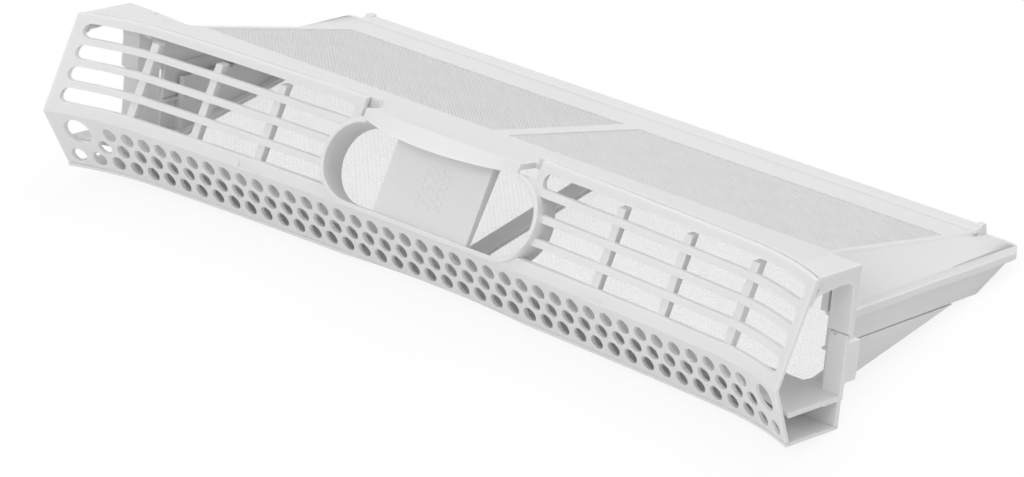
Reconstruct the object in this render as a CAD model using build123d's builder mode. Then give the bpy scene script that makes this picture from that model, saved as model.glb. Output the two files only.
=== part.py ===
from build123d import *
from math import asin, atan2, cos, hypot, sin, sqrt
import os

# Tumble dryer lint filter. Sizes are in millimetres in the filter's own upright frame:
# x along its length, y from the front crease to the back, z up from the base of the front tube.
# The filter is laid down at the end of this block, on the tube's back edge and the skirts' heels.

# Front cover: a thin wall, bowed in plan, with a crease between the grille and the lower strip
half_length = 160.0
bow_depth = 15.7
bend_share = 0.7875
bend_drop = 5.0
bow_facets = 9
bend_facets = 6
crease_z = 21.5
top_z = 54.3
grille_run = 14.0
wall = 2.0

# Lower strip, sloping back under the crease, with staggered rows of round holes
strip_half = 157.8
strip_run = 10.4
hole_pitch = 7.29
hole_r = 2.55
hole_sides = 10
hole_rows = ((16.3, 39), (10.7, 40), (5.2, 43))
end_hole_r = 4.6
end_hole_x = 150.4
end_hole_z = 15.0

# Slots of the grille and the ribs behind them
slot_rows = 4
slot_pitch = 7.1
slot_first_z = 27.6
slot_height = 4.9
slot_corner = 2.1
slot_outer_x = 156.5
slot_inner_x = 39.0
slot_top_inner_x = 41.4
rib_x = (74.0, 102.4, 130.7)
rib_width = 3.0
rib_depth = 2.6

# Collar round the finger recess and the grip plate standing in it
collar_half = 31.5
collar_mid = 14.6
collar_in_r = 13.2
collar_wall = 1.6
collar_proud = 3.4
collar_back = 7.0
collar_gap_half = 33.0
top_gap_half = 38.5
grip_half = 20.5
grip_top = 29.0
grip_foot = 2.6
grip_head = 4.6
dot_r = 0.75
dot_height = 0.4
dot_pitch = 2.4

# Tube along the base and its end posts
base_back = 37.7
floor_wall = 1.2
floor_set_back = 2.6
shelf_wall = 1.6
back_wall = 1.8
tube_height = 11.4
shelf_gap = 1.6
post_x = 154.2
cheek_x = 158.2
post_front = 28.2
flange_back = 43.6
flange_low = 15.2
flange_high = 28.6
seam_front_z = 36.4
seam_slope = 0.64
seam_gap = 0.5

# Lower mesh frame, rising from the tube to the nose
pan_front = 37.0
pan_front_z = 5.05
pan_slope = 0.25
pan_wall = 2.0
pan_half = 144.6
pan_side_half = 147.4
pan_side_top = 21.6
curb_x = 142.6
curb_top = 29.5
pan_window_x = 140.0
pan_window_front = 43.8
pan_window_back = 124.0
pan_rib_half = 3.5

# Upper mesh frame, which is the lid
lid_wall = 2.0
lid_gap = 0.45
lid_half = 159.2
lid_top = 54.1
lid_bead = 1.6
lid_bead_in = 34.5
plate_back = 38.4
plate_mid_z = 51.4
skin_dip = 0.2
shoulder_x = 148.3
mesh_front = 51.2
mesh_front_z = 49.2
mesh_front_x = 138.2
mesh_back = 123.4
mesh_back_z = 38.3
mesh_back_x = 133.0
lid_side_x = 148.0
lid_side_front_z = 35.2
lid_side_back_z = 36.6
crest_y = 137.8
crest_z = 39.2
crest_x = 136.5
crest_step_z = 37.1
ridge_y = 131.4
ridge_rise = 0.8
lid_window_edge = 2.2
lid_window_border = 1.6
lid_rib_half = 3.2
skirt_in = 145.5
skirt_out = 147.5
skirt_low = 22.0
skirt_front = 40.2
skirt_heel_y = 119.4
skirt_heel_z = 23.4
tip_front = 126.0
tip_round = 5.5
side_lip_x = 150.0
side_lip_low = 31.4
side_lip_high = 33.7
side_lip_rise = 1.3
side_lip_front = 45.0
leg_in = 151.0
tab_width = 2.6
tab_rise = 1.6

# Thumb lip at the front of the lid, a leaning face that bulges forward at its lower edge
lip_half = 33.4
lip_top_y = 24.5
lip_low_z = 49.8
lip_corner = 22.6
lip_front = 15.2
lip_wall = 1.8

# Hinge at the rear nose
hinge_y = 135.8
hinge_z = 34.6
nose_r = 4.6
nose_bore = 3.0
nose_gap = 0.45
arm_in = 124.0
arm_out = 128.0
arm_gap = 0.4
eye_r = 2.75
pin_r = 1.5
pin_clear = 0.06
pin_length = 4.4
boss_out = 134.0

# Woven mesh in the four windows
mesh_thickness = 0.5
mesh_depth = 0.5

# Resting tilt: the base edge and the skirts' heels, or the nose, touch the same floor
reach = hypot(hinge_y - base_back, hinge_z)
nose_tilt = atan2(hinge_z, hinge_y - base_back) - asin(nose_r / reach)
tilt = min(nose_tilt, atan2(skirt_heel_z, skirt_heel_y - base_back))
back = Vector(0, cos(tilt), -sin(tilt))
up = Vector(0, sin(tilt), cos(tilt))
crease_laid = -base_back * cos(tilt) + crease_z * sin(tilt)
nose_laid = (hinge_y - base_back) * cos(tilt) + hinge_z * sin(tilt) + nose_r
start = back * -base_back + Vector(0, -(crease_laid + nose_laid) / 2, 0)
plan = Plane(origin=start, x_dir=(1, 0, 0), z_dir=up)
front = Plane(origin=start, x_dir=(1, 0, 0), z_dir=back * -1)
side = Plane(origin=start, x_dir=back, z_dir=(1, 0, 0))

# Direction of the grille's slope and its face plane at the middle of the filter
rise = top_z - crease_z
slope_length = hypot(grille_run, rise)
slope_y = grille_run / slope_length
slope_z = rise / slope_length
slope_way = back * slope_y + up * slope_z
face = Plane(
    origin=start + back * bow_depth + up * crease_z,
    x_dir=(1, 0, 0),
    z_dir=back * -slope_z + up * slope_y,
)

# Direction of the strip's slope, downwards
strip_fall = crease_z - floor_wall
strip_length = hypot(strip_run, strip_fall)
strip_way = back * (strip_run / strip_length) - up * (strip_fall / strip_length)


def bowed_points(shift):
    # the front's line in plan: a shallow arc with a tighter bend at each end, in short straight facets
    bend = half_length * bend_share
    big = (bend**2 + bend_drop**2) / (2 * bend_drop)
    turn = asin(bend / big)
    shoulder = bow_depth - bend_drop
    reach_x = half_length - bend
    small = (reach_x**2 + shoulder**2) / (2 * (shoulder * cos(turn) - reach_x * sin(turn)))
    mid_x = bend - small * sin(turn)
    mid_y = shoulder - small * cos(turn)
    last = atan2(half_length - mid_x, -mid_y)
    right = []
    for step in range(bow_facets + 1):
        angle = turn * step / bow_facets
        right.append((big * sin(angle), bow_depth - big * (1 - cos(angle)) + shift))
    for step in range(1, bend_facets + 1):
        angle = turn + (last - turn) * step / bend_facets
        right.append((mid_x + small * sin(angle), mid_y + small * cos(angle) + shift))
    return [(-x, y) for x, y in right[:0:-1]] + right


def bowed_band(shift, deep, mode=Mode.ADD):
    with BuildLine() as outline:
        Polyline(*bowed_points(shift), *bowed_points(shift + deep)[::-1], close=True)
    make_face(outline.edges(), mode=mode)


def bowed_plate(shift, rear):
    with BuildLine() as outline:
        Polyline(*bowed_points(shift), (half_length, rear), (-half_length, rear), close=True)
    make_face(outline.edges())


def on_face(along, proud):
    # upright (y, z) of a point up the grille's slope at the middle of the filter
    return (bow_depth + slope_y * along - slope_z * proud, crease_z + slope_z * along + slope_y * proud)


def pan_z(y):
    return pan_front_z + pan_slope * (y - pan_front)


def mesh_z(y):
    return mesh_front_z + (mesh_back_z - mesh_front_z) * (y - mesh_front) / (mesh_back - mesh_front)


def skin_z(y):
    # top of the lid's skin between the level ends
    share = (y - grille_run + wall) / (plate_back - grille_run + wall)
    return lid_top - skin_dip + (plate_mid_z - lid_top + skin_dip) * share


def side_z(y):
    # outer edge of the lid's side faces
    share = (y - plate_back) / (crest_y - plate_back)
    return lid_side_front_z + (lid_side_back_z - lid_side_front_z) * share


def seam_z(y):
    return seam_front_z - seam_slope * (y - post_front)


# Front cover: grille and lower strip leave the crease in their own directions
with BuildPart() as front_cover:
    with BuildSketch(plan.offset(crease_z)) as crease:
        bowed_band(0, wall)
    extrude(amount=slope_length, dir=slope_way)
    # four rows of slots on each side of the recess
    with BuildSketch(front.offset(1)):
        slot_mid = (slot_outer_x + slot_inner_x) / 2
        rows = [slot_first_z + slot_pitch * row for row in range(slot_rows)]
        with Locations(*[(way * slot_mid, z) for z in rows[:-1] for way in (-1, 1)]):
            RectangleRounded(slot_outer_x - slot_inner_x, slot_height, slot_corner)
        slot_mid = (slot_outer_x + slot_top_inner_x) / 2
        with Locations((-slot_mid, rows[-1]), (slot_mid, rows[-1])):
            RectangleRounded(slot_outer_x - slot_top_inner_x, slot_height, slot_corner)
    extrude(amount=-(bow_depth + grille_run + 5 * wall), mode=Mode.SUBTRACT)
    # upright ribs behind the bars, ending under the lid
    with BuildSketch(plan.offset(crease_z)):
        with Locations(*[(way * x, bow_depth / 2) for x in rib_x for way in (-1, 1)]):
            Rectangle(rib_width, 3 * bow_depth)
        bowed_band(wall * 0.6, rib_depth + wall * 0.4, mode=Mode.INTERSECT)
    rib_top = skin_z(bow_depth + grille_run + wall + rib_depth) - lid_wall - lid_gap
    extrude(amount=(rib_top - crease_z) / slope_z, dir=slope_way)
    # collar, its recess and the gap above it for the thumb lip
    with BuildSketch(face.offset(collar_proud)):
        with Locations((0, collar_mid)):
            SlotOverall(2 * (collar_half + collar_in_r + collar_wall), 2 * (collar_in_r + collar_wall))
    extrude(amount=-(collar_proud + collar_back))
    with BuildSketch(face.offset(collar_proud + 1)):
        with Locations((0, collar_mid)):
            SlotOverall(2 * (collar_half + collar_in_r), 2 * collar_in_r)
    extrude(amount=-(collar_proud + collar_back + 2), mode=Mode.SUBTRACT)
    with BuildSketch(face.offset(collar_proud + 1)):
        with Locations((0, collar_mid)):
            Rectangle(2 * collar_gap_half, slope_length, align=(Align.CENTER, Align.MIN))
        with Locations((0, collar_mid + collar_in_r + collar_wall)):
            Rectangle(2 * top_gap_half, slope_length, align=(Align.CENTER, Align.MIN))
    extrude(amount=-(collar_proud + collar_back + 10), mode=Mode.SUBTRACT)
    # the collar dies away towards the crease
    with BuildSketch(side.offset(-half_length / 2)):
        with BuildLine():
            Polyline(on_face(-3, 0.3), on_face(7, collar_proud), on_face(7, 12), on_face(-3, 12), close=True)
        make_face()
    extrude(amount=half_length, mode=Mode.SUBTRACT)
    # grip plate rising from the crease
    with BuildSketch(side.offset(-grip_half)):
        foot = on_face(0, 0)
        head = on_face(grip_top, 0)
        with BuildLine():
            Polyline(foot, head, (head[0] + grip_head, head[1]), (foot[0] + grip_foot, foot[1]), close=True)
        make_face()
    extrude(amount=2 * grip_half)
    with BuildSketch(face):
        with Locations((0, collar_mid)):
            with HexLocations(dot_pitch / sqrt(3), 5, 5):
                RegularPolygon(dot_r, 6)
    extrude(amount=dot_height)
    # lower strip, drawn in at its ends, with round holes and one larger hole at each end
    extrude(crease.sketch, amount=strip_length, dir=strip_way)
    with BuildSketch(front.offset(1)):
        for way in (-1, 1):
            with BuildLine():
                Polyline(
                    (way * half_length, crease_z),
                    (way * strip_half, floor_wall),
                    (way * half_length * 1.1, floor_wall),
                    (way * half_length * 1.1, crease_z),
                    close=True,
                )
            make_face()
    extrude(amount=-half_length / 2, mode=Mode.SUBTRACT)
    with BuildSketch(front.offset(1)):
        for z, count in hole_rows:
            with Locations((0, z)):
                with GridLocations(hole_pitch, 1, count, 1):
                    RegularPolygon(hole_r, hole_sides)
        with Locations((-end_hole_x, end_hole_z), (end_hole_x, end_hole_z)):
            Circle(end_hole_r)
    extrude(amount=-(bow_depth + strip_run + 3 * wall), mode=Mode.SUBTRACT)

# Lower half: tube, posts and lower mesh frame
with BuildPart() as lower_half:
    with BuildSketch(plan):
        bowed_plate(strip_run, base_back)
        Rectangle(2 * strip_half, 4 * half_length, mode=Mode.INTERSECT)
        with BuildLine():
            mid_front = strip_run + bow_depth + floor_set_back
            ThreePointArc((-half_length * 0.6, strip_run), (0, mid_front), (half_length * 0.6, strip_run))
            Line((-half_length * 0.6, strip_run), (half_length * 0.6, strip_run))
        make_face(mode=Mode.SUBTRACT)
    extrude(amount=floor_wall)
    with BuildSketch(side.offset(-strip_half)):
        with Locations((base_back, 0)):
            Rectangle(back_wall, tube_height, align=(Align.MAX, Align.MIN))
    extrude(amount=2 * strip_half)
    with BuildSketch(plan.offset(tube_height)):
        bowed_plate(strip_run * 0.6 + wall + shelf_gap, base_back)
        Rectangle(2 * strip_half, 4 * half_length, mode=Mode.INTERSECT)
    extrude(amount=-shelf_wall)
    # posts with a flange behind them, and the wall between post and pan
    for way in (-1, 1):
        with BuildSketch(side.offset(way * cheek_x)):
            with BuildLine():
                Polyline(
                    (post_front, tube_height - shelf_wall),
                    (base_back, tube_height - shelf_wall),
                    (base_back, seam_z(base_back) - seam_gap / 2),
                    (post_front, seam_front_z - seam_gap / 2),
                    close=True,
                )
            make_face()
        extrude(amount=-way * (cheek_x - post_x))
        with BuildSketch(side.offset(way * cheek_x)):
            with Locations((base_back - back_wall, flange_low)):
                Rectangle(flange_back - base_back + back_wall, flange_high - flange_low, align=(Align.MIN, Align.MIN))
        extrude(amount=-way * lid_wall * 1.2)
        with BuildSketch(side.offset(way * cheek_x)):
            with Locations((base_back - back_wall, tube_height - shelf_wall)):
                Rectangle(back_wall, flange_high - tube_height + shelf_wall, align=(Align.MIN, Align.MIN))
        extrude(amount=-way * (cheek_x - curb_x))
    # sloping pan, ended round the nose
    with BuildSketch(side.offset(-pan_half)):
        with BuildLine():
            Polyline(
                (pan_front, pan_front_z),
                (hinge_y, pan_z(hinge_y)),
                (hinge_y, pan_z(hinge_y) + pan_wall),
                (pan_front, pan_front_z + pan_wall),
                close=True,
            )
        make_face()
    extrude(amount=2 * pan_half)
    with BuildSketch(plan):
        with Locations(*[(way * (pan_rib_half + pan_window_x) / 2, pan_window_front) for way in (-1, 1)]):
            Rectangle(
                pan_window_x - pan_rib_half,
                pan_window_back - pan_window_front,
                align=(Align.CENTER, Align.MIN),
            )
    extrude(amount=hinge_z, mode=Mode.SUBTRACT)
    with BuildSketch(side.offset(-half_length)):
        with Locations((hinge_y, hinge_z)):
            Circle(nose_r + nose_gap)
    extrude(amount=2 * half_length, mode=Mode.SUBTRACT)
    # outer side walls under the skirt, and curbs inside it
    low_end = pan_front + (pan_side_top - pan_front_z) / pan_slope
    for way in (-1, 1):
        with BuildSketch(side.offset(way * pan_side_half)):
            with BuildLine():
                Polyline((pan_front, pan_front_z), (low_end, pan_side_top), (pan_front, pan_side_top), close=True)
            make_face()
        extrude(amount=-way * (pan_side_half - curb_x))
        with BuildSketch(side.offset(way * curb_x)):
            with BuildLine():
                Polyline(
                    (pan_front, pan_front_z + pan_wall / 2),
                    (pan_window_back, pan_z(pan_window_back) + pan_wall / 2),
                    (pan_window_back, curb_top),
                    (pan_front, curb_top),
                    close=True,
                )
            make_face()
        extrude(amount=way * (pan_half + 0.2 - curb_x))
    # hinge arms with outward pins
    for way in (-1, 1):
        with BuildSketch(side.offset(way * arm_in)):
            with Locations((hinge_y, hinge_z)):
                Circle(eye_r)
            with BuildLine():
                Polyline(
                    (hinge_y - 16, pan_z(hinge_y - 16) + pan_wall / 2),
                    (hinge_y - 8, pan_z(hinge_y - 8) + pan_wall / 2),
                    (hinge_y + eye_r * 0.6, hinge_z - eye_r * 0.8),
                    (hinge_y - eye_r * 0.6, hinge_z + eye_r * 0.8),
                    close=True,
                )
            make_face()
        extrude(amount=way * (arm_out - arm_in))
        with BuildSketch(side.offset(way * arm_out)):
            with Locations((hinge_y, hinge_z)):
                Circle(pin_r)
        extrude(amount=way * pin_length)

# Upper half: the lid with its mesh frame. Its top skin, level at the ends, sinks behind the rim
with BuildPart() as top_skin:
    for y in (grille_run - wall, plate_back):
        tops = [(mesh_front_x, skin_z(y)), (shoulder_x, lid_top), (lid_half, lid_top)]
        tops = [(-x, h) for x, h in tops[::-1]] + tops
        with BuildSketch(front.offset(-y)):
            with BuildLine():
                Polyline(*tops, *[(x, h - lid_wall) for x, h in tops[::-1]], close=True)
            make_face()
    loft(ruled=True)
    with BuildSketch(plan.offset(crease_z)):
        bowed_plate(grille_run + wall + lid_gap, plate_back)
        with Locations((0, plate_back)):
            Rectangle(2 * lip_half, plate_back - lip_top_y, align=(Align.CENTER, Align.MAX))
    extrude(amount=rise * 2, mode=Mode.INTERSECT)

# Solid rear tips of the lid, where the side lips run into the side faces, kept inside the nose's round
with BuildPart() as tips:
    for way in (-1, 1):
        with BuildSketch(front.offset(-tip_front)):
            with BuildLine():
                Polyline(
                    (way * boss_out, side_lip_low),
                    (way * (side_lip_x - 0.6), side_lip_low + side_lip_rise * 0.6),
                    (way * side_lip_x, side_lip_low + side_lip_rise * 1.6),
                    (way * side_lip_x, side_lip_high + side_lip_rise * 0.8),
                    (way * lid_side_x, side_z(tip_front)),
                    (way * boss_out, side_z(tip_front)),
                    close=True,
                )
            make_face()
    extrude(amount=-(hinge_y + nose_r - tip_front))
    with BuildSketch(side.offset(-half_length)):
        with Locations((hinge_y, hinge_z)):
            Circle(nose_r)
            Rectangle(2 * (hinge_y - tip_front), 4 * nose_r, align=(Align.MAX, Align.CENTER))
    extrude(amount=2 * half_length, mode=Mode.INTERSECT)

with BuildPart() as upper_half:
    add(top_skin.part)
    add(tips.part)
    # raised bead behind the front cover's rim, ending beside the thumb lip
    with BuildSketch(plan.offset(top_z)):
        bowed_band(grille_run + wall + lid_gap, lid_bead)
        Rectangle(2 * lid_half, 4 * half_length, mode=Mode.INTERSECT)
        Rectangle(2 * lid_bead_in, 4 * half_length, mode=Mode.SUBTRACT)
    extrude(amount=-(top_z - plate_mid_z + lid_wall / 2))
    # wedge shell from the box to the crest
    stations = (
        (plate_back, plate_mid_z, mesh_front_x, lid_top, shoulder_x),
        (mesh_front, mesh_front_z, mesh_front_x, mesh_front_z - 1.5, mesh_front_x + 1),
        (mesh_back, mesh_back_z, mesh_back_x, mesh_back_z - 0.33, mesh_back_x + 1.2),
        (crest_y, crest_z, crest_x, crest_step_z, crest_x + 0.5),
    )
    for near, far in zip(stations[:-1], stations[1:]):
        for y, z, x, low_z, low_x in (near, far):
            with BuildSketch(front.offset(-y)):
                with BuildLine():
                    Polyline(
                        (-lid_side_x, side_z(y)),
                        (lid_side_x, side_z(y)),
                        (low_x, low_z),
                        (x, z),
                        (-x, z),
                        (-low_x, low_z),
                        close=True,
                    )
                make_face()
        loft(ruled=True)
    # ridge along the crest
    with BuildSketch(side.offset(-crest_x)):
        ridge_z = mesh_back_z + (crest_z - mesh_back_z) * (ridge_y - mesh_back) / (crest_y - mesh_back)
        with BuildLine():
            Polyline(
                (ridge_y, ridge_z - 0.5),
                (ridge_y + 0.3, ridge_z + ridge_rise),
                (crest_y - 0.6, crest_z + ridge_rise),
                (crest_y, crest_z + ridge_rise * 0.4),
                (crest_y, crest_z - 0.5),
                close=True,
            )
        make_face()
    extrude(amount=2 * crest_x)
    # skirts along the sides, with a lip above them
    for way in (-1, 1):
        with BuildSketch(side.offset(way * skirt_in)):
            with BuildLine():
                Polyline(
                    (skirt_front, skirt_low),
                    (skirt_heel_y, skirt_heel_z),
                    (hinge_y, hinge_z - nose_r * 0.9),
                    (hinge_y, hinge_z),
                    (skirt_front, hinge_z),
                    close=True,
                )
            make_face()
        extrude(amount=way * (skirt_out - skirt_in))
        with BuildSketch(side.offset(way * skirt_in)):
            with BuildLine():
                Polyline(
                    (side_lip_front, side_lip_low),
                    (hinge_y, side_lip_low + side_lip_rise),
                    (hinge_y, side_lip_high + side_lip_rise),
                    (side_lip_front, side_lip_high),
                    close=True,
                )
            make_face()
        extrude(amount=way * (side_lip_x - skirt_in))
    # hollow inside of the wedge
    inner = (
        (plate_back - 2 * lid_wall, shoulder_x - 2.5, plate_mid_z - lid_wall),
        (plate_back, shoulder_x - 2.5, plate_mid_z - lid_wall),
        (mesh_front, mesh_front_x - 1.5, mesh_front_z - lid_wall),
        (mesh_back, mesh_back_x - 1.2, mesh_back_z - lid_wall),
        (hinge_y, crest_x - 2.4, crest_z - lid_wall * 1.1),
    )
    for near, far in zip(inner[:-1], inner[1:]):
        for y, x, z in (near, far):
            with BuildSketch(front.offset(-y)):
                with BuildLine():
                    Polyline(
                        (-skirt_in, side_z(y) - 7),
                        (skirt_in, side_z(y) - 7),
                        (skirt_in, side_z(y) - 1.6),
                        (x, z),
                        (-x, z),
                        (-skirt_in, side_z(y) - 1.6),
                        close=True,
                    )
                make_face()
        loft(ruled=True, mode=Mode.SUBTRACT)
    # end cheeks, their thick back legs and the walls behind them
    for way in (-1, 1):
        with BuildSketch(side.offset(way * lid_half)):
            with BuildLine():
                Polyline(
                    (20.2, lid_top),
                    (plate_back, lid_top),
                    (plate_back, seam_z(plate_back) + seam_gap / 2),
                    (post_front, seam_front_z + seam_gap / 2),
                    (27.0, 38.4),
                    (25.3, 44.4),
                    (22.1, 48.6),
                    (17.6, 48.5),
                    (16.2, 47.2),
                    (17.2, 49.6),
                    (19.0, 51.4),
                    close=True,
                )
            make_face()
            with Locations((31.6, 44.0)):
                SlotOverall(10.4, 7.4, rotation=90, mode=Mode.SUBTRACT)
        extrude(amount=-way * lid_wall * 1.2)
        with BuildSketch(side.offset(way * lid_half)):
            with BuildLine():
                Polyline(
                    (plate_back, lid_top),
                    (plate_back, seam_z(plate_back) + seam_gap / 2),
                    (post_front, seam_front_z + seam_gap / 2),
                    (27.0, 38.4),
                    (25.3, 44.4),
                    (25.3, lid_top),
                    close=True,
                )
            make_face()
            with Locations((31.6, 44.0)):
                SlotOverall(10.4, 7.4, rotation=90, mode=Mode.SUBTRACT)
        extrude(amount=-way * (lid_half - leg_in))
        with BuildSketch(side.offset(way * lid_half)):
            wall_low = seam_z(plate_back - lid_wall) + seam_gap
            with Locations((plate_back, wall_low)):
                Rectangle(lid_wall, lid_top - wall_low, align=(Align.MAX, Align.MIN))
        extrude(amount=-way * (lid_half - lid_side_x + lid_wall))
    # two windows, leaving a centre rib
    with BuildSketch(plan.offset(lid_side_front_z - lid_wall)):
        for way in (-1, 1):
            with BuildLine():
                Polyline(
                    (way * lid_rib_half, mesh_front + lid_window_border),
                    (way * (mesh_front_x - lid_window_edge), mesh_front + lid_window_border),
                    (way * (mesh_back_x - lid_window_edge), mesh_back - lid_window_border),
                    (way * lid_rib_half, mesh_back - lid_window_border),
                    close=True,
                )
            make_face()
    extrude(amount=lid_top, mode=Mode.SUBTRACT)
    # nose tube, solid bosses for the pins and rounded corners
    with BuildSketch(side.offset(-boss_out)):
        with Locations((hinge_y, hinge_z)):
            Circle(nose_r)
    extrude(amount=2 * boss_out)
    with BuildSketch(side.offset(-arm_in)):
        with Locations((hinge_y, hinge_z)):
            Circle(nose_bore)
    extrude(amount=2 * arm_in, mode=Mode.SUBTRACT)
    for way in (-1, 1):
        with BuildSketch(side.offset(way * (boss_out - 1))):
            with Locations((hinge_y, hinge_z)):
                Circle(nose_r)
            with Locations((hinge_y, hinge_z)):
                Rectangle(4 * nose_r, 2 * nose_r, align=(Align.CENTER, Align.MIN), mode=Mode.SUBTRACT)
        extrude(amount=way * (side_lip_x - boss_out))
        # slot for the hinge arm and blind hole for its pin
        with BuildSketch(side.offset(way * (arm_in - arm_gap))):
            with Locations((hinge_y, hinge_z)):
                Circle(nose_r + 1)
            with Locations((hinge_y, hinge_z + eye_r + nose_gap)):
                Rectangle(4 * nose_r, 4 * nose_r, align=(Align.CENTER, Align.MIN), mode=Mode.SUBTRACT)
        extrude(amount=way * (arm_out - arm_in + 2 * arm_gap), mode=Mode.SUBTRACT)
        with BuildSketch(side.offset(way * arm_out)):
            with Locations((hinge_y, hinge_z)):
                Circle(pin_r + pin_clear)
        extrude(amount=way * (pin_length + arm_gap), mode=Mode.SUBTRACT)
        # raised tab at the end of the crest
        with BuildSketch(side.offset(way * crest_x)):
            with BuildLine():
                Polyline(
                    (crest_y - 5, crest_z - 2),
                    (crest_y, crest_z - 2),
                    (crest_y, crest_z + tab_rise),
                    (crest_y - 3, crest_z + tab_rise),
                    close=True,
                )
            make_face()
        extrude(amount=-way * tab_width)
    # thumb lip over the recess
    with BuildSketch(plan.offset(skin_z(lip_top_y))):
        with Locations((0, lip_top_y)):
            Rectangle(2 * lip_half, lip_wall, align=(Align.CENTER, Align.MIN))
    with BuildSketch(plan.offset(lip_low_z)):
        with BuildLine():
            ThreePointArc((-lip_half, lip_corner), (0, lip_front), (lip_half, lip_corner))
            ThreePointArc(
                (-lip_half, lip_corner + lip_wall), (0, lip_front + lip_wall), (lip_half, lip_corner + lip_wall)
            )
            Line((-lip_half, lip_corner), (-lip_half, lip_corner + lip_wall))
            Line((lip_half, lip_corner), (lip_half, lip_corner + lip_wall))
        make_face()
    loft(ruled=True)
    # rounded rear corners
    with BuildSketch(plan.offset(hinge_z - 2 * nose_r)):
        for way in (-1, 1):
            round_x = way * (side_lip_x - tip_round)
            round_y = hinge_y + nose_r - tip_round
            with Locations((round_x + way * tip_round, round_y + tip_round)):
                Rectangle(2 * tip_round, 2 * tip_round)
            with Locations((round_x, round_y)):
                Circle(tip_round, mode=Mode.SUBTRACT)
                inward = Align.MAX if way > 0 else Align.MIN
                Rectangle(2 * tip_round, 2 * tip_round, align=(inward, Align.CENTER), mode=Mode.SUBTRACT)
                Rectangle(2 * tip_round, 2 * tip_round, align=(Align.CENTER, Align.MAX), mode=Mode.SUBTRACT)
    extrude(amount=4 * nose_r, mode=Mode.SUBTRACT)

# Mesh panels, one in each window
lid_meshes = []
pan_meshes = []
for way in (-1, 1):
    with BuildPart() as lid_mesh:
        with BuildSketch(plan.offset(lid_side_front_z - lid_wall)):
            with BuildLine():
                Polyline(
                    (way * lid_rib_half, mesh_front + lid_window_border),
                    (way * (mesh_front_x - lid_window_edge), mesh_front + lid_window_border),
                    (way * (mesh_back_x - lid_window_edge), mesh_back - lid_window_border),
                    (way * lid_rib_half, mesh_back - lid_window_border),
                    close=True,
                )
            make_face()
        extrude(amount=lid_top)
        with BuildSketch(side.offset(-half_length)):
            with BuildLine():
                Polyline(
                    (mesh_front, mesh_z(mesh_front) - mesh_depth),
                    (mesh_back, mesh_z(mesh_back) - mesh_depth),
                    (mesh_back, mesh_z(mesh_back) - mesh_depth - mesh_thickness),
                    (mesh_front, mesh_z(mesh_front) - mesh_depth - mesh_thickness),
                    close=True,
                )
            make_face()
        extrude(amount=2 * half_length, mode=Mode.INTERSECT)
    lid_meshes.append(lid_mesh)
    with BuildPart() as pan_mesh:
        with BuildSketch(plan):
            with Locations((way * (pan_rib_half + pan_window_x) / 2, pan_window_front)):
                Rectangle(
                    pan_window_x - pan_rib_half,
                    pan_window_back - pan_window_front,
                    align=(Align.CENTER, Align.MIN),
                )
        extrude(amount=hinge_z)
        with BuildSketch(side.offset(-half_length)):
            with BuildLine():
                Polyline(
                    (pan_front, pan_front_z + mesh_depth),
                    (hinge_y, pan_z(hinge_y) + mesh_depth),
                    (hinge_y, pan_z(hinge_y) + mesh_depth + mesh_thickness),
                    (pan_front, pan_front_z + mesh_depth + mesh_thickness),
                    close=True,
                )
            make_face()
        extrude(amount=2 * half_length, mode=Mode.INTERSECT)
    pan_meshes.append(pan_mesh)
upper_mesh_left, upper_mesh_right = lid_meshes
lower_mesh_left, lower_mesh_right = pan_meshes

os.makedirs("parts", exist_ok=True)
front_cover.part.label = "front_cover"
lower_half.part.label = "lower_half"
upper_half.part.label = "upper_half"
upper_mesh_left.part.label = "upper_mesh_left"
upper_mesh_right.part.label = "upper_mesh_right"
lower_mesh_left.part.label = "lower_mesh_left"
lower_mesh_right.part.label = "lower_mesh_right"
export_step(front_cover.part, "parts/front_cover.step")
export_step(lower_half.part, "parts/lower_half.step")
export_step(upper_half.part, "parts/upper_half.step")
export_step(upper_mesh_left.part, "parts/upper_mesh_left.step")
export_step(upper_mesh_right.part, "parts/upper_mesh_right.step")
export_step(lower_mesh_left.part, "parts/lower_mesh_left.step")
export_step(lower_mesh_right.part, "parts/lower_mesh_right.step")
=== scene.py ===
import math

import bmesh
import bpy
from mathutils import Matrix, Vector
from mathutils.kdtree import KDTree


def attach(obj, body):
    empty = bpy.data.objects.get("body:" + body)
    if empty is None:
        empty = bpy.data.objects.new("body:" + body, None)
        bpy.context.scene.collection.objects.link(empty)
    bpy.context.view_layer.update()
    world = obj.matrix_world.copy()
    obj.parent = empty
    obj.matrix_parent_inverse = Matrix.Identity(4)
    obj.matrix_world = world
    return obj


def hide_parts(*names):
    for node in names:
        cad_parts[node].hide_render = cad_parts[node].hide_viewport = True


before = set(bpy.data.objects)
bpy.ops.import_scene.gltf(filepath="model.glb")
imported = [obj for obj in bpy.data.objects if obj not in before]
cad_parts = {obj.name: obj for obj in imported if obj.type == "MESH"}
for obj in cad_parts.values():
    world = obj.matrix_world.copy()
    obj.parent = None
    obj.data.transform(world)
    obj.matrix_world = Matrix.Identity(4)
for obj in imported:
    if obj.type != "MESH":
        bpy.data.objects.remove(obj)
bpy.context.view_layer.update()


# Tray. The lower half is one white polypropylene moulding: the open tube along the base, the end posts, the
# sloping pan that frames the lower mesh and the hinge arms. Each end is open from the grille back to a narrow
# post wall. The places of its walls are in millimetres, in the upright filter.
TUBE_BACK = 37.7
TUBE_TOP = 11.4
SKIRT_HEEL = (119.4, 23.4)
TRAY_WHITE = (0.83, 0.83, 0.835)
TRAY_GLOSS = 0.46
TRAY_EDGE = 0.00045
POST_FRONT = 36.2
POST_IN = 151.4
POST_OUT = 158.2
POST_WALL_OUT = 157.7
POST_TOP = 30.0
PAN_SIDE_IN = 146.0
PAN_TOP_FRONT = (37.0, 7.05)
PAN_SLOPE = 0.25
PAN_WINDOW_X = 140.0
PASSAGE_BACK = 50.0
POST_CLEAR = 20.0
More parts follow.
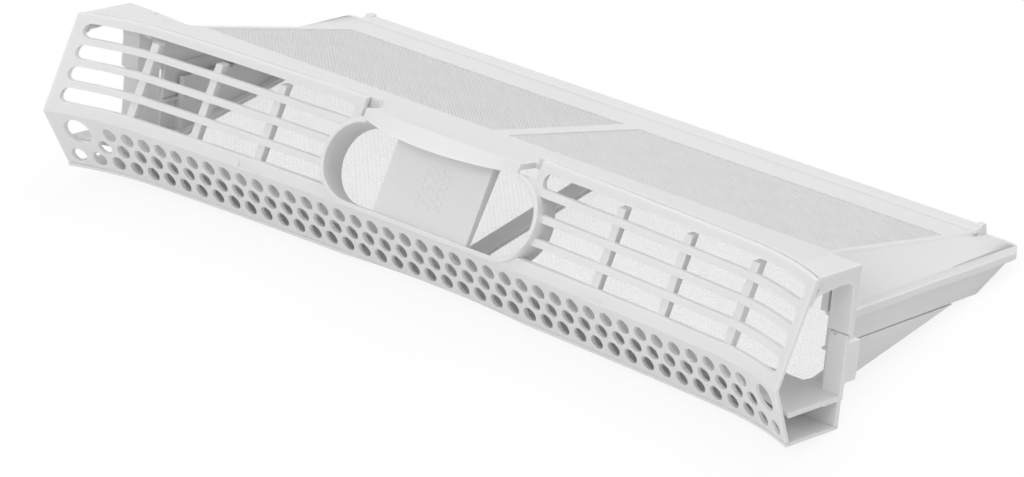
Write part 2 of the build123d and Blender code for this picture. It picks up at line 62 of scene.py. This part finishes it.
LID_OVER = 60.0
CUT_PAST = 2.0
BITE = 1.0
WEB_BACK = 43.2
WEB_PLAN = ((151.4, 36.3), (153.0, 36.8), (148.7, 43.6), (146.8, 43.4))
SILL_IN = 144.4
SILL_OUT = 147.4
SILL = ((43.0, 21.0), (100.8, 21.0), (107.6, 22.7), (43.0, 21.75))
SEAM_FRONT = (28.2, 36.4)
SEAM_SLOPE = 0.64
SEAM_HALF = 0.3
FLOW_DARK, FLOW_PALE = 0.965, 1.02
GLOSS_LESS, GLOSS_MORE = 0.07, 0.09
SAME_CORNER = 2e-6
SLIVER = 1.2e-5
FLAT = math.radians(0.12)
CORNER = math.radians(40)
SMOOTH = math.radians(34)
EDGES_OF_ROOM = 3
LEAST_ROOM = 0.35
CROSSED_AREA = 2e-7
EASING = 0.4
LEAST_ROUNDING = 0.02
EASING_TRIES = 8
NO_LENGTH = 5e-6

tilt = math.atan2(SKIRT_HEEL[1], SKIRT_HEEL[0] - TUBE_BACK)
foot = min((v.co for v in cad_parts["lower_half"].data.vertices), key=lambda point: point.z)


def lying(x, y, z):
    """A place in the upright filter, in millimetres, where it lies on its back edge, in metres."""
    back, rise = (y - TUBE_BACK) / 1000, z / 1000
    return Vector((
        x / 1000,
        foot.y + back * math.cos(tilt) + rise * math.sin(tilt),
        rise * math.cos(tilt) - back * math.sin(tilt),
    ))


def seam_z(y):
    """Height of the seam between the two halves."""
    return SEAM_FRONT[1] - SEAM_SLOPE * (y - SEAM_FRONT[0])


def both_ends(near, far):
    """A block between two outlines of as many points, at the right end and mirrored at the left."""
    mesh = bpy.data.meshes.new("block")
    count = len(near)
    points, faces = [], []
    for way in (1, -1):
        first = len(points)
        points += [lying(way * x, y, z) for x, y, z in [*near, *far]]
        walls = [(i, (i + 1) % count, count + (i + 1) % count, count + i) for i in range(count)]
        walls += [tuple(range(count))[::-1], tuple(range(count, 2 * count))]
        faces += [tuple(first + i for i in wall) for wall in walls]
    mesh.from_pydata(points, [], faces)
    block = bmesh.new()
    block.from_mesh(mesh)
    bmesh.ops.recalc_face_normals(block, faces=block.faces[:])
    block.to_mesh(mesh)
    block.free()
    piece = bpy.data.objects.new("block", mesh)
    bpy.context.scene.collection.objects.link(piece)
    return piece


def end_prism(outline, x_in, x_out):
    """A block at each end with one outline, in y and z, from one x to another."""
    return both_ends([(x_in, y, z) for y, z in outline], [(x_out, y, z) for y, z in outline])


def white_plastic(name, white, gloss):
    """Moulded polypropylene: faint flow marks in the white, uneven gloss and a fine spark-eroded grain."""
    material = bpy.data.materials.new(name)
    material.use_nodes = True
    nodes, links = material.node_tree.nodes, material.node_tree.links
    shader = nodes["Principled BSDF"]
    place = nodes.new("ShaderNodeTexCoord")
    flow = nodes.new("ShaderNodeTexNoise")
    flow.inputs["Scale"].default_value = 16
    flow.inputs["Detail"].default_value = 3
    flow.inputs["Distortion"].default_value = 0.8
    white_mix = nodes.new("ShaderNodeMix")
    white_mix.data_type = "RGBA"
    white_mix.inputs["A"].default_value = (*[part * FLOW_DARK for part in white], 1)
    white_mix.inputs["B"].default_value = (*[part * FLOW_PALE for part in white], 1)
    patches = nodes.new("ShaderNodeTexNoise")
    patches.inputs["Scale"].default_value = 210
    patches.inputs["Detail"].default_value = 2
    gloss_range = nodes.new("ShaderNodeMapRange")
    gloss_range.inputs["To Min"].default_value = gloss - GLOSS_LESS
    gloss_range.inputs["To Max"].default_value = gloss + GLOSS_MORE
    grain = nodes.new("ShaderNodeTexNoise")
    grain.inputs["Scale"].default_value = 2400
    grain.inputs["Detail"].default_value = 2
    bump = nodes.new("ShaderNodeBump")
    bump.inputs["Strength"].default_value = 0.3
    bump.inputs["Distance"].default_value = 0.00003
    for noise in (flow, patches, grain):
        links.new(place.outputs["Object"], noise.inputs["Vector"])
    links.new(flow.outputs["Fac"], white_mix.inputs["Factor"])
    links.new(white_mix.outputs["Result"], shader.inputs["Base Color"])
    links.new(patches.outputs["Fac"], gloss_range.inputs["Value"])
    links.new(gloss_range.outputs["Result"], shader.inputs["Roughness"])
    links.new(grain.outputs["Fac"], bump.inputs["Height"])
    links.new(bump.outputs["Normal"], shader.inputs["Normal"])
    shader.inputs["IOR"].default_value = 1.49
    shader.inputs["Subsurface Weight"].default_value = 1.0
    shader.inputs["Subsurface Radius"].default_value = (1, 0.97, 0.94)
    shader.inputs["Subsurface Scale"].default_value = 0.0008
    return material


def evaluated(piece):
    """The mesh of a piece with its modifiers, which then come off."""
    made = bpy.data.meshes.new_from_object(piece.evaluated_get(bpy.context.evaluated_depsgraph_get()))
    piece.modifiers.clear()
    piece.data = made
    return made


def eased(mesh, rounded):
    """Eases the rounding at corners where it made faces whose outline crosses itself, and counts those."""
    shell = bmesh.new()
    shell.from_mesh(rounded)
    covered = {}
    for corners in shell.calc_loop_triangles():
        a, b, c = (corner.vert.co for corner in corners)
        covered[corners[0].face] = covered.get(corners[0].face, 0) + (b - a).cross(c - a).length / 2
    crossed = [face for face, area in covered.items() if area - face.calc_area() > CROSSED_AREA]
    places = [corner.co.copy() for face in crossed for corner in face.verts]
    shell.free()
    shell = bmesh.new()
    shell.from_mesh(mesh)
    near = KDTree(len(shell.verts))
    for corner in shell.verts:
        near.insert(corner.co, corner.index)
    near.balance()
    shell.verts.ensure_lookup_table()
    weights = shell.edges.layers.float["bevel_weight_edge"]
    lines = {line for place in places for line in shell.verts[near.find(place)[1]].link_edges}
    for line in lines:
        line[weights] = EASING * line[weights] if line[weights] > LEAST_ROUNDING else 0.0
    shell.to_mesh(mesh)
    shell.free()
    return len(crossed)


def moulded(node, name, body, material, edge, cuts=(), fills=()):
    """A copy of a moulding with blocks cut out and added and its corners rounded, in place of the solid."""
    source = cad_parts[node].data
    mesh = bpy.data.meshes.new(name)
    mesh.from_pydata([v.co for v in source.vertices], [], [f.vertices for f in source.polygons])
    shell = bmesh.new()
    shell.from_mesh(mesh)
    bmesh.ops.remove_doubles(shell, verts=shell.verts, dist=SAME_CORNER)
    shell.to_mesh(mesh)
    shell.free()
    piece = bpy.data.objects.new(name, mesh)
    bpy.context.scene.collection.objects.link(piece)
    for operation, blocks in (("DIFFERENCE", cuts), ("UNION", fills)):
        for block in blocks:
            joining = piece.modifiers.new("block", "BOOLEAN")
            joining.operation = operation
            joining.solver = "MANIFOLD"
            joining.object = block
    mesh = evaluated(piece)
    for block in (*fills, *cuts):
        bpy.data.objects.remove(block)
    shell = bmesh.new()
    shell.from_mesh(mesh)
    bmesh.ops.dissolve_degenerate(shell, edges=shell.edges[:], dist=SLIVER)
    bmesh.ops.dissolve_limit(shell, angle_limit=FLAT, verts=shell.verts[:], edges=shell.edges[:])
    weights = shell.edges.layers.float.new("bevel_weight_edge")
    for line in shell.edges:
        if line.is_manifold and line.calc_face_angle() > CORNER:
            shortest = min(other.calc_length() for corner in line.verts for other in corner.link_edges)
            room = shortest / (EDGES_OF_ROOM * edge)
            line[weights] = min(1.0, room) if room > LEAST_ROOM else 0.0
    shell.to_mesh(mesh)
    shell.free()
    mesh.materials.clear()
    mesh.materials.append(material)
    for _ in range(EASING_TRIES):
        piece.data = mesh
        rounding = piece.modifiers.new("rounded_edges", "BEVEL")
        rounding.width = edge
        rounding.segments = 2
        rounding.limit_method = "WEIGHT"
        rounding.use_clamp_overlap = False
        rounding.loop_slide = False
        made = evaluated(piece)
        if not eased(mesh, made):
            break
    shell = bmesh.new()
    shell.from_mesh(made)
    bmesh.ops.dissolve_degenerate(shell, edges=shell.edges[:], dist=NO_LENGTH)
    bmesh.ops.triangulate(shell, faces=shell.faces[:])
    shell.to_mesh(made)
    shell.free()
    made.shade_smooth()
    made.set_sharp_from_angle(angle=SMOOTH)
    flattening = piece.modifiers.new("flat_faces", "WEIGHTED_NORMAL")
    flattening.keep_sharp = True
    flattening.weight = 100
    evaluated(piece)
    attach(piece, body)
    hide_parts(node)
    return piece


tray_plastic = white_plastic("tray_white_plastic", TRAY_WHITE, TRAY_GLOSS)
pan_back_z = PAN_TOP_FRONT[1] + PAN_SLOPE * (PASSAGE_BACK - PAN_TOP_FRONT[0])
post_space = end_prism(
    [(POST_CLEAR, TUBE_TOP), (POST_FRONT, TUBE_TOP), (POST_FRONT, LID_OVER), (POST_CLEAR, LID_OVER)],
    POST_IN - BITE,
    POST_OUT + CUT_PAST,
)
post_passage = end_prism(
    [(POST_CLEAR, TUBE_TOP), (WEB_BACK, TUBE_TOP), (WEB_BACK, LID_OVER), (POST_CLEAR, LID_OVER)],
    PAN_WINDOW_X + CUT_PAST,
    POST_IN,
)
pan_passage = end_prism(
    [(TUBE_BACK, TUBE_TOP), (PASSAGE_BACK, pan_back_z), (PASSAGE_BACK, LID_OVER), (TUBE_BACK, LID_OVER)],
    PAN_WINDOW_X + CUT_PAST,
    PAN_SIDE_IN,
)
post_foot = TUBE_TOP - BITE
post_wall = end_prism(
    [(POST_FRONT, post_foot), (TUBE_BACK, post_foot), (TUBE_BACK, POST_TOP), (POST_FRONT, POST_TOP)],
    POST_IN,
    POST_WALL_OUT,
)
web = both_ends(
    [(x, y, post_foot) for x, y in WEB_PLAN], [(x, y, seam_z(y) - SEAM_HALF) for x, y in WEB_PLAN]
)
sill = end_prism(SILL, SILL_IN, SILL_OUT)
tray_cuts = [post_space, post_passage, pan_passage]
moulded("lower_half", "tray_moulding", "tray", tray_plastic, TRAY_EDGE, tray_cuts, [post_wall, web, sill])


# Lower mesh. Two panels of plain-woven white monofilament, moulded into the pan's frame on each side of its
# centre rib, so that the threads run on a little way into the plastic.
MESH_BITE = 0.0011
LOWER_PITCH = 0.001
LOWER_THREAD = 0.00026
LOWER_THREAD_SIDES = 4
WAVE_IN_THREADS = 0.35
LEAST_TAPER = 1e-5
HAIR = 1e-6
CLEAR_WHITE = (0.97, 0.97, 0.97)
CLEAR = 0.9
THREAD_DARK, THREAD_PALE = 0.95, 1.03


def monofilament(name, white, clear):
    """Smooth thread, more or less clear, a little uneven in its white along its length."""
    material = bpy.data.materials.new(name)
    material.use_nodes = True
    nodes, links = material.node_tree.nodes, material.node_tree.links
    shader = nodes["Principled BSDF"]
    place = nodes.new("ShaderNodeTexCoord")
    cloud = nodes.new("ShaderNodeTexNoise")
    cloud.inputs["Scale"].default_value = 90
    cloud.inputs["Detail"].default_value = 4
    white_mix = nodes.new("ShaderNodeMix")
    white_mix.data_type = "RGBA"
    white_mix.inputs["A"].default_value = (*[part * THREAD_DARK for part in white], 1)
    white_mix.inputs["B"].default_value = (*[part * THREAD_PALE for part in white], 1)
    links.new(place.outputs["Object"], cloud.inputs["Vector"])
    links.new(cloud.outputs["Fac"], white_mix.inputs["Factor"])
    links.new(white_mix.outputs["Result"], shader.inputs["Base Color"])
    shader.inputs["Roughness"].default_value = 0.35
    shader.inputs["IOR"].default_value = 1.12
    shader.inputs["Transmission Weight"].default_value = clear
    return material


def weave_tree():
    """Threads across and along a panel that may narrow to the back, over and under each other in turn."""
    tree = bpy.data.node_groups.new("plain_weave", "GeometryNodeTree")
    sockets = tree.interface
    for label in ("Front Width", "Back Width", "Depth", "Pitch", "Thread", "Wave"):
        sockets.new_socket(name=label, in_out="INPUT", socket_type="NodeSocketFloat")
    sockets.new_socket(name="Sides", in_out="INPUT", socket_type="NodeSocketInt")
    sockets.new_socket(name="Material", in_out="INPUT", socket_type="NodeSocketMaterial")
    sockets.new_socket(name="Geometry", in_out="OUTPUT", socket_type="NodeSocketGeometry")
    nodes, links = tree.nodes, tree.links
    sizes = nodes.new("NodeGroupInput").outputs
    end = nodes.new("NodeGroupOutput")

    def put(value, socket):
        if isinstance(value, bpy.types.NodeSocket):
            links.new(value, socket)
        else:
            socket.default_value = value

    def node(kind, **values):
        new = nodes.new(kind)
        for label, value in values.items():
            put(value, new.inputs[label.replace("_", " ")])
        return new

    def sum_of(operation, first, second=0.0):
        new = nodes.new("ShaderNodeMath")
        new.operation = operation
        put(first, new.inputs[0])
        put(second, new.inputs[1])
        return new.outputs[0]

    def along(x, y, z):
        return node("ShaderNodeCombineXYZ", X=x, Y=y, Z=z).outputs["Vector"]

    def whole(length):
        steps = sum_of("FLOOR", sum_of("DIVIDE", length, sizes["Pitch"]))
        return sum_of("ADD", sum_of("MULTIPLY", steps, sizes["Pitch"]), HAIR)

    where = node("ShaderNodeSeparateXYZ", Vector=nodes.new("GeometryNodeInputPosition").outputs["Position"])
    x, y = where.outputs["X"], where.outputs["Y"]
    radius = sum_of("MULTIPLY", sizes["Thread"], 0.5)
    profile = node("GeometryNodeCurvePrimitiveCircle", Resolution=sizes["Sides"], Radius=radius)
    taper = sum_of("SUBTRACT", sizes["Front Width"], sizes["Back Width"])
    narrower = sum_of("MULTIPLY", taper, sum_of("DIVIDE", y, sizes["Depth"]))
    across = sum_of("SUBTRACT", sizes["Front Width"], narrower)
    some_taper = sum_of("MAXIMUM", taper, LEAST_TAPER)
    to_side = sum_of("DIVIDE", sum_of("SUBTRACT", sizes["Front Width"], x), some_taper)
    down = sum_of("MULTIPLY", sizes["Depth"], sum_of("MINIMUM", to_side, 1.0))
    crossing = sum_of(
        "ADD",
        sum_of("ROUND", sum_of("DIVIDE", x, sizes["Pitch"])),
        sum_of("ROUND", sum_of("DIVIDE", y, sizes["Pitch"])),
    )
    over = sum_of("SUBTRACT", 1.0, sum_of("MULTIPLY", 2.0, sum_of("FLOORED_MODULO", crossing, 2.0)))
    joined = nodes.new("GeometryNodeJoinGeometry")
    weft_step, warp_step = along(0.0, sizes["Pitch"], 0.0), along(sizes["Pitch"], 0.0, 0.0)
    ways = (
        (sizes["Depth"], weft_step, (1, 0, 0), along(whole(across), 1.0, 1.0), 1.0),
        (sizes["Front Width"], warp_step, (0, 1, 0), along(1.0, whole(down), 1.0), -1.0),
    )
    for span, step, way, stretch, first in ways:
        count = sum_of("FLOOR", sum_of("DIVIDE", span, sizes["Pitch"]))
        starts = node("GeometryNodeMeshLine", Count=count, Offset=step)
        unit = node("GeometryNodeCurvePrimitiveLine", End=way)
        laid = node("GeometryNodeInstanceOnPoints", Points=starts.outputs[0], Scale=stretch)
        put(unit.outputs[0], laid.inputs["Instance"])
        lines = node("GeometryNodeRealizeInstances", Geometry=laid.outputs[0])
        bends = nodes.new("GeometryNodeResampleCurve")
        bends.mode = "LENGTH"
        put(lines.outputs[0], bends.inputs["Curve"])
        put(sizes["Pitch"], bends.inputs["Length"])
        lift = sum_of("MULTIPLY", sum_of("MULTIPLY", over, first), sizes["Wave"])
        waved = node("GeometryNodeSetPosition", Geometry=bends.outputs[0], Offset=along(0.0, 0.0, lift))
        thread = node("GeometryNodeCurveToMesh", Curve=waved.outputs[0], Fill_Caps=True)
        put(profile.outputs[0], thread.inputs["Profile Curve"])
        links.new(thread.outputs[0], joined.inputs["Geometry"])
    real = node("GeometryNodeRealizeInstances", Geometry=joined.outputs[0])
    dressed = node("GeometryNodeSetMaterial", Geometry=real.outputs[0], Material=sizes["Material"])
    links.new(dressed.outputs[0], end.inputs["Geometry"])
    return tree


def woven_panel(node, name, body, holder, tree, material, pitch, thread, sides):
    """A stretched panel of mesh in the place of its thin solid, with its edges in the plastic round it."""
    corners = {tuple(round(part, 6) for part in v.co): v.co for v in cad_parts[node].data.vertices}
    by_depth = sorted(corners.values(), key=lambda point: point.y)
    rows = []
    for row in (by_depth[:4], by_depth[4:]):
        row = sorted(row, key=lambda point: abs(point.x))
        rows += [(row[0] + row[1]) / 2, (row[2] + row[3]) / 2]
    front_in, front_out, back_in, back_out = rows
    outward = Vector((math.copysign(1, front_out.x), 0, 0))
    rearward = (back_in - front_in).normalized()
    depth = (back_in - front_in).length + 2 * MESH_BITE
    front_width = abs(front_out.x - front_in.x) + 2 * MESH_BITE
    back_width = abs(back_out.x - back_in.x) + 2 * MESH_BITE
    start = front_in - (outward + rearward) * MESH_BITE
    turn = Matrix((outward, rearward, outward.cross(rearward))).transposed().to_4x4()
    loom = bpy.data.objects.new(name + "_loom", bpy.data.meshes.new(name + "_loom"))
    bpy.context.scene.collection.objects.link(loom)
    weaving = loom.modifiers.new("weave", "NODES")
    weaving.node_group = tree
    values = {
        "Front Width": front_width,
        "Back Width": back_width,
        "Depth": depth,
        "Pitch": pitch,
        "Thread": thread,
        "Wave": thread * WAVE_IN_THREADS,
        "Sides": sides,
        "Material": material,
    }
    for item in tree.interface.items_tree:
        if item.in_out == "INPUT":
            weaving[item.identifier] = values[item.name]
    cloth = bpy.data.meshes.new_from_object(loom.evaluated_get(bpy.context.evaluated_depsgraph_get()))
    bpy.data.objects.remove(loom)
    cloth.name = name
    cloth.transform(Matrix.Translation(start) @ turn)
    cloth.shade_smooth()
    piece = bpy.data.objects.new(name, cloth)
    bpy.context.scene.collection.objects.link(piece)
    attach(piece, body)
    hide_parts(node)
    return piece


weave = weave_tree()
clear_thread = monofilament("clear_monofilament", CLEAR_WHITE, CLEAR)
lower_cloth = (weave, clear_thread, LOWER_PITCH, LOWER_THREAD, LOWER_THREAD_SIDES)
woven_panel("lower_mesh_left", "lower_weave_left", "tray", "tray_moulding", *lower_cloth)
woven_panel("lower_mesh_right", "lower_weave_right", "tray", "tray_moulding", *lower_cloth)


# Front cover. One thin bowed polypropylene moulding, clipped to the tray: the slotted grille, the perforated
# strip below its crease, and the collar of the finger recess with the grip plate standing in it. A bead at
# each end narrows the gap to the lid.
COVER_WHITE = (0.845, 0.845, 0.845)
COVER_GLOSS = 0.44
COVER_EDGE = 0.00038
END_BEAD_X = (157.0, 159.6)
END_BEAD = (
    (15.9, 53.9), (14.5, 50.6), (12.2, 45.2), (14.5, 45.6), (15.7, 47.6), (16.05, 49.0), (16.3, 50.6),
    (16.7, 53.9),
)
cover_plastic = white_plastic("cover_white_plastic", COVER_WHITE, COVER_GLOSS)
end_bead = end_prism(END_BEAD, *END_BEAD_X)
moulded("front_cover", "cover_moulding", "tray", cover_plastic, COVER_EDGE, (), [end_bead])


# Lid. The upper half is one polypropylene moulding that turns on the tray's pins at the rear nose: the top
# skin with its thumb lip, the wedge that frames the upper mesh, the skirts and the crest. Each end is an open
# arch down to the tray's post, and a hollow fillet runs from there along the skirt to the tapered rear tip.
LID_WHITE = (0.815, 0.815, 0.818)
LID_GLOSS = 0.47
LID_EDGE = 0.00045
ARCH_BACK = 35.6
ARCH_TOP = 49.3
ARCH_ROUND = 6.5
ARCH_FRONT = (22.0, 48.7)
ARCH_KNEE = (19.0, 44.0)
ARCH_FOOT = 25.0
ARCH_STEP = 10
ARCH_OUT = 161.2
LEG_IN = 151.0
WALL_SPACE_IN = 145.2
WALL_SPACE = ((34.0, 20.0), (43.2, 20.0), (43.2, 35.0), (38.6, 35.0), (38.6, 44.5), (34.0, 44.5))
LID_WEB_PLAN = ((151.1, 35.7), (152.7, 36.5), (148.6, 43.0), (147.0, 42.4))
LID_WEB_TOP = 46.0
GUTTER_FRONT = (41.2, 33.65)
GUTTER_FRONT_RING = (
    (145.7, -0.6), (149.4, -0.6), (149.4, -0.15), (148.85, 0.2), (148.45, 0.65), (148.2, 1.15),
    (148.0, 1.75), (147.1, 2.4), (145.7, 2.4),
)
GUTTER_BACK = (128.0, 34.89)
GUTTER_BACK_RING = (
    (145.7, -0.6), (149.85, -0.6), (149.85, -0.12), (149.2, 0.45), (148.7, 0.88), (148.3, 1.2),
    (148.0, 1.5), (146.2, 1.6), (145.7, 1.6),
)
TIP_UNDER_X = (134.6, 151.5)
TIP_UNDER = ((121.0, 24.15), (141.5, 34.35), (141.5, 22.0), (121.0, 20.0))
NOSE_END_X = (147.45, 151.5)
NOSE_END = ((124.3, 18.0), (142.0, 18.0), (142.0, 34.7), (137.4, 32.5), (124.3, 31.0))
lid_plastic = white_plastic("lid_white_plastic", LID_WHITE, LID_GLOSS)
round_y, round_z = ARCH_BACK - ARCH_ROUND, ARCH_TOP - ARCH_ROUND
arch = [(ARCH_BACK, ARCH_FOOT), (ARCH_KNEE[0], ARCH_FOOT), ARCH_KNEE, ARCH_FRONT]
for angle in range(0, 91, ARCH_STEP):
    bend = math.radians(angle)
    arch.append((round_y + ARCH_ROUND * math.sin(bend), round_z + ARCH_ROUND * math.cos(bend)))
arch_space = end_prism(arch, LEG_IN - BITE, ARCH_OUT)
wall_space = end_prism(WALL_SPACE, WALL_SPACE_IN, LEG_IN)
lid_web = both_ends(
    [(x, y, seam_z(y) + SEAM_HALF) for x, y in LID_WEB_PLAN], [(x, y, LID_WEB_TOP) for x, y in LID_WEB_PLAN]
)
gutter = both_ends(
    [(x, GUTTER_FRONT[0], GUTTER_FRONT[1] + rise) for x, rise in GUTTER_FRONT_RING],
    [(x, GUTTER_BACK[0], GUTTER_BACK[1] + rise) for x, rise in GUTTER_BACK_RING],
)
tip_space = end_prism(TIP_UNDER, *TIP_UNDER_X)
nose_space = end_prism(NOSE_END, *NOSE_END_X)
lid_cuts = [arch_space, wall_space, tip_space, nose_space]
moulded("upper_half", "lid_moulding", "lid", lid_plastic, LID_EDGE, lid_cuts, [gutter, lid_web])


# Upper mesh. Two panels of a closer weave of white monofilament, moulded into the lid on each side of its
# centre rib. The air meets them last, so they are the finer.
UPPER_PITCH = 0.0008
UPPER_THREAD = 0.00044
UPPER_THREAD_SIDES = 3
CLOSE_WHITE = (0.95, 0.95, 0.95)
NEARLY_OPAQUE = 0.1
white_thread = monofilament("white_monofilament", CLOSE_WHITE, NEARLY_OPAQUE)
upper_cloth = (weave, white_thread, UPPER_PITCH, UPPER_THREAD, UPPER_THREAD_SIDES)
woven_panel("upper_mesh_left", "upper_weave_left", "lid", "lid_moulding", *upper_cloth)
woven_panel("upper_mesh_right", "upper_weave_right", "lid", "lid_moulding", *upper_cloth)


# Studio. A plain white table under the filter, a soft lamp at the front, a weaker one above and behind, and
# white all round. The table shows mostly its own white, and keeps a pale shadow.
TABLE_WHITE = (0.9, 0.9, 0.9, 1)
TABLE_HALF = 4.0
TABLE_GLOW = 1.03
TABLE_GLOW_SHARE = 0.84
WORLD_LIGHT = 0.62
LAMPS = (
    ("front_soft_box", 12.0, 1.2, (0.55, -1.70, 1.70)),
    ("top_soft_box", 7.0, 1.4, (0.0, 0.75, 1.45)),
)


def seen_directly(nodes, links):
    """1 for what the camera sees, also through clear things or in reflections, and 0 for other light."""
    path = nodes.new("ShaderNodeLightPath")
    first = nodes.new("ShaderNodeMath")
    first.operation = "MAXIMUM"
    links.new(path.outputs["Is Camera Ray"], first.inputs[0])
    links.new(path.outputs["Is Glossy Ray"], first.inputs[1])
    second = nodes.new("ShaderNodeMath")
    second.operation = "MAXIMUM"
    links.new(first.outputs[0], second.inputs[0])
    links.new(path.outputs["Is Transmission Ray"], second.inputs[1])
    return second.outputs[0]


table_mesh = bpy.data.meshes.new("table")
table_corners = [(x * TABLE_HALF, y * TABLE_HALF, 0) for x, y in ((-1, -1), (1, -1), (1, 1), (-1, 1))]
table_mesh.from_pydata(table_corners, [], [(0, 1, 2, 3)])
table = bpy.data.objects.new("table", table_mesh)
bpy.context.scene.collection.objects.link(table)
table_top = bpy.data.materials.new("white_table")
table_top.use_nodes = True
top_nodes, top_links = table_top.node_tree.nodes, table_top.node_tree.links
top_nodes.remove(top_nodes["Principled BSDF"])
matt = top_nodes.new("ShaderNodeBsdfDiffuse")
matt.inputs["Color"].default_value = TABLE_WHITE
glow = top_nodes.new("ShaderNodeEmission")
glow.inputs["Strength"].default_value = TABLE_GLOW
share = top_nodes.new("ShaderNodeMath")
share.operation = "MULTIPLY"
share.inputs[1].default_value = TABLE_GLOW_SHARE
top_links.new(seen_directly(top_nodes, top_links), share.inputs[0])
top_mix = top_nodes.new("ShaderNodeMixShader")
top_links.new(share.outputs[0], top_mix.inputs["Fac"])
top_links.new(matt.outputs[0], top_mix.inputs[1])
top_links.new(glow.outputs[0], top_mix.inputs[2])
top_links.new(top_mix.outputs[0], top_nodes["Material Output"].inputs["Surface"])
table_mesh.materials.append(table_top)

world = bpy.data.worlds.new("white_room")
bpy.context.scene.world = world
world.use_nodes = True
room_nodes, room_links = world.node_tree.nodes, world.node_tree.links
room_light = room_nodes["Background"]
room_light.inputs["Color"].default_value = (1, 1, 1, 1)
room_light.inputs["Strength"].default_value = WORLD_LIGHT
room_white = room_nodes.new("ShaderNodeBackground")
room_white.inputs["Color"].default_value = (1, 1, 1, 1)
room_white.inputs["Strength"].default_value = 1.0
room_mix = room_nodes.new("ShaderNodeMixShader")
room_links.new(seen_directly(room_nodes, room_links), room_mix.inputs["Fac"])
room_links.new(room_light.outputs[0], room_mix.inputs[1])
room_links.new(room_white.outputs[0], room_mix.inputs[2])
room_links.new(room_mix.outputs[0], room_nodes["World Output"].inputs["Surface"])

for lamp_name, power, size, spot in LAMPS:
    lamp_data = bpy.data.lights.new(lamp_name, "AREA")
    lamp_data.energy = power
    lamp_data.shape = "DISK"
    lamp_data.size = size
    lamp = bpy.data.objects.new(lamp_name, lamp_data)
    lamp.location = spot
    lamp.rotation_euler = (-Vector(spot)).to_track_quat("-Z", "Y").to_euler()
    bpy.context.scene.collection.objects.link(lamp)

bpy.context.scene.view_settings.view_transform = "Standard"


# Camera. It looks down on the lying filter from its front right, and is rolled a little, so that the filter
# is seen as it stands upright in the dryer.
CAMERA_SPOT = (0.87979, -0.90105, 0.75336)
CAMERA_ANGLES = (44.6724, 30.977, -6.3721)
CAMERA_LENS = 154.79
CAMERA_SENSOR = 36.0
CAMERA_REACH = 20.0
camera_data = bpy.data.cameras.new("camera")
camera_data.sensor_fit = "HORIZONTAL"
camera_data.sensor_width = CAMERA_SENSOR
camera_data.lens = CAMERA_LENS
camera_data.clip_end = CAMERA_REACH
camera = bpy.data.objects.new("camera", camera_data)
turn, height, roll = (math.radians(angle) for angle in CAMERA_ANGLES)
behind = Vector((math.sin(turn) * math.cos(height), -math.cos(turn) * math.cos(height), math.sin(height)))
level = Vector((math.cos(turn), math.sin(turn), 0))
upward = behind.cross(level)
right = level * math.cos(roll) + upward * math.sin(roll)
camera.matrix_world = Matrix.LocRotScale(
    Vector(CAMERA_SPOT),
    Matrix((right, behind.cross(right), behind)).transposed().to_quaternion(),
    None,
)
bpy.context.scene.collection.objects.link(camera)
bpy.context.scene.camera = camera
